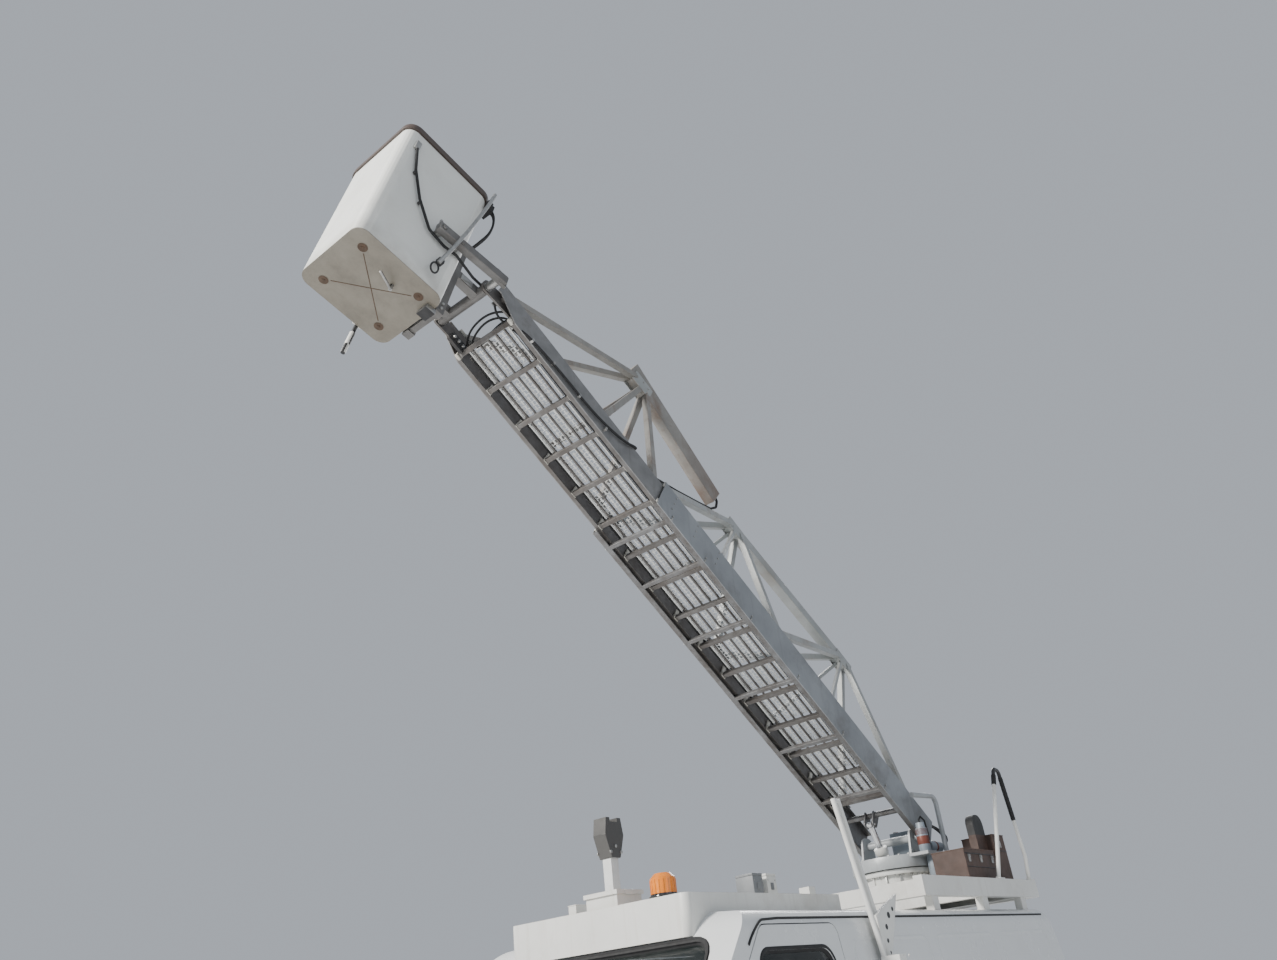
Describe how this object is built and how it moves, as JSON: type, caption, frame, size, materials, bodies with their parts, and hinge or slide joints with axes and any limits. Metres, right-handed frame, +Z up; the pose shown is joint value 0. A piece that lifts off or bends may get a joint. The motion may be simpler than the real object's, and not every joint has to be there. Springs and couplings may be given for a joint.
{
  "type": "aerial bucket lift van",
  "caption": "White cargo van with a roof turret that carries a raised telescopic aluminium ladder boom and a levelled worker's bucket at its tip.",
  "frame": {"origin": "centre of the bounding box's foot, on the ground", "axes": "+X towards the van's front, +Y towards its left side, +Z up"},
  "size_m": [6.0238, 2.51, 6.6253],
  "materials": {
    "body_paint": "gloss",
    "dark_trim": "matte",
    "glass": "clear",
    "lamp_clear": "gloss",
    "lamp_red": "gloss",
    "lamp_amber": "gloss",
    "bumper_grey": "satin",
    "bumper_steel": "satin",
    "ladder_black": "satin",
    "seat_fabric": "matte",
    "dash_plastic": "matte",
    "frame_black": "satin",
    "engine_metal": "cast",
    "driveline_steel": "dull",
    "tank_plastic": "matte",
    "tyre_rubber": "matte",
    "rim_steel": "satin",
    "roof_frame_white": "satin",
    "deck_white": "satin",
    "rest_steel": "satin",
    "rail_white": "gloss",
    "box_brown": "weathered",
    "turret_grey": "satin",
    "gear_grey": "satin",
    "cylinder_white": "gloss",
    "rod_chrome": "polished",
    "boom_aluminium": "satin",
    "fly_aluminium": "satin",
    "bucket_shell": "satin",
    "carrier_steel": "satin",
    "hose_rubber": "matte"
  },
  "bodies": {
    "van": {"body_shell": "body_paint", "floor_pan": "body_paint", "front_clip": "body_paint", "windshield": "glass", "grille": "dark_trim", "head_lamps": "lamp_clear", "tail_lamps": "lamp_red", "front_bumper": "bumper_grey", "rear_bumper": "bumper_steel", "dashboard": "dash_plastic", "seats": "seat_fabric", "chassis_frame": "frame_black", "engine": "engine_metal", "drive_line": "driveline_steel", "fuel_tank": "tank_plastic", "front_suspension": "frame_black", "rear_axle": "engine_metal", "roof_frame": "roof_frame_white", "roof_deck": "deck_white", "beacon": "lamp_amber", "boom_rest": "rest_steel", "hand_rails": "rail_white", "tool_box": "box_brown"},
    "hood_panel": {"hood": "body_paint"},
    "front_left_entry": {"front_left_door": "body_paint", "front_left_glass": "glass", "left_mirror": "dark_trim"},
    "front_right_entry": {"front_right_door": "body_paint", "front_right_glass": "glass", "right_mirror": "dark_trim"},
    "side_front_entry": {"side_front_door": "body_paint"},
    "side_rear_entry": {"side_rear_door": "body_paint"},
    "rear_left_entry": {"rear_left_door": "body_paint", "rear_left_glass": "glass", "rear_ladder": "ladder_black"},
    "rear_right_entry": {"rear_right_door": "body_paint", "rear_right_glass": "glass"},
    "left_steering": {"left_knuckle": "engine_metal"},
    "right_steering": {"right_knuckle": "engine_metal"},
    "front_left_wheel": {"front_left_tyre": "tyre_rubber", "front_left_rim": "rim_steel"},
    "front_right_wheel": {"front_right_tyre": "tyre_rubber", "front_right_rim": "rim_steel"},
    "rear_left_wheel": {"rear_left_tyre": "tyre_rubber", "rear_left_rim": "rim_steel"},
    "rear_right_wheel": {"rear_right_tyre": "tyre_rubber", "rear_right_rim": "rim_steel"},
    "turret": {"turntable": "turret_grey", "turret_gear": "gear_grey"},
    "cylinder_barrel": {"lift_cylinder": "cylinder_white"},
    "cylinder_rod": {"lift_rod": "rod_chrome"},
    "base_section": {"base_boom": "boom_aluminium", "base_truss": "boom_aluminium"},
    "fly_section": {"fly_boom": "fly_aluminium", "fly_truss": "fly_aluminium", "fly_hose": "hose_rubber"},
    "work_bucket": {"bucket": "bucket_shell", "bucket_carrier": "carrier_steel", "bucket_hose": "hose_rubber"}
  },
  "joints": [
    {"name": "left_steer", "type": "hinge", "parent": "van", "child": "left_steering", "pos_m": [1.8461, 0.803, 0.387], "axis": [0, 0, 1], "range_deg": [-33, 33]},
    {"name": "right_steer", "type": "hinge", "parent": "van", "child": "right_steering", "pos_m": [1.8461, -0.803, 0.387], "axis": [0, 0, 1], "range_deg": [-33, 33]},
    {"name": "front_left_roll", "type": "hinge", "parent": "left_steering", "child": "front_left_wheel", "pos_m": [1.8461, 0.865, 0.387], "axis": [0, 1, 0], "continuous": true},
    {"name": "front_right_roll", "type": "hinge", "parent": "right_steering", "child": "front_right_wheel", "pos_m": [1.8461, -0.865, 0.387], "axis": [0, 1, 0], "continuous": true},
    {"name": "rear_left_roll", "type": "hinge", "parent": "van", "child": "rear_left_wheel", "pos_m": [-1.5839, 0.865, 0.387], "axis": [0, 1, 0], "continuous": true},
    {"name": "rear_right_roll", "type": "hinge", "parent": "van", "child": "rear_right_wheel", "pos_m": [-1.5839, -0.865, 0.387], "axis": [0, 1, 0], "continuous": true},
    {"name": "hood_hinge", "type": "hinge", "parent": "van", "child": "hood_panel", "pos_m": [1.9131, 0, 1.282], "axis": [0, -1, 0], "range_deg": [0, 55]},
    {"name": "front_left_door_hinge", "type": "hinge", "parent": "van", "child": "front_left_entry", "pos_m": [1.3971, 1.012, 0.9], "axis": [0, 0.0613, -0.9981], "range_deg": [0, 68]},
    {"name": "front_right_door_hinge", "type": "hinge", "parent": "van", "child": "front_right_entry", "pos_m": [1.3971, -1.012, 0.9], "axis": [0, 0.0613, 0.9981], "range_deg": [0, 68]},
    {"name": "side_front_door_hinge", "type": "hinge", "parent": "van", "child": "side_front_entry", "pos_m": [0.2911, -1.012, 0.9], "axis": [0, 0.0613, 0.9981], "range_deg": [0, 110]},
    {"name": "side_rear_door_hinge", "type": "hinge", "parent": "van", "child": "side_rear_entry", "pos_m": [-0.7269, -1.012, 0.9], "axis": [0, -0.0613, -0.9981], "range_deg": [0, 110]},
    {"name": "rear_left_door_hinge", "type": "hinge", "parent": "van", "child": "rear_left_entry", "pos_m": [-2.8959, 0.802, 1], "axis": [0, 0, -1], "range_deg": [0, 100]},
    {"name": "rear_right_door_hinge", "type": "hinge", "parent": "van", "child": "rear_right_entry", "pos_m": [-2.8959, -0.802, 1], "axis": [0, 0, 1], "range_deg": [0, 100]},
    {"name": "turret_slew", "type": "hinge", "parent": "van", "child": "turret", "pos_m": [-2.2839, 0, 2.46], "axis": [0, 0, 1], "range_deg": [-180, 180]},
    {"name": "boom_lift", "type": "hinge", "parent": "turret", "child": "base_section", "pos_m": [-2.3239, 0, 2.642], "axis": [0, -1, 0], "range_deg": [-34.6, 42.4]},
    {"name": "fly_extend", "type": "slide", "parent": "base_section", "child": "fly_section", "axis": [0.8231, 0, 0.5678], "range_m": [-0.04, 2.2]},
    {"name": "bucket_level", "type": "hinge", "parent": "fly_section", "child": "work_bucket", "pos_m": [2.01544, 0, 5.72055], "axis": [0, -1, 0], "range_deg": [-43, 35.5]},
    {"name": "barrel_tilt", "type": "hinge", "parent": "turret", "child": "cylinder_barrel", "pos_m": [-2.3239, 0, 2.192], "axis": [0, -1, 0], "range_deg": [-13, 16]},
    {"name": "rod_stroke", "type": "slide", "parent": "cylinder_barrel", "child": "cylinder_rod", "axis": [0.4416, 0, 0.8972], "range_m": [-0.115, 0.14]}
  ],
  "couplings": [
    {"joint": "right_steer", "follows": "left_steer", "ratio": 1},
    {"joint": "bucket_level", "follows": "boom_lift", "ratio": -1},
    {"joint": "barrel_tilt", "follows": "boom_lift", "ratio": 0.36},
    {"joint": "rod_stroke", "follows": "boom_lift", "m_per_rad": 0.1843}
  ]
}
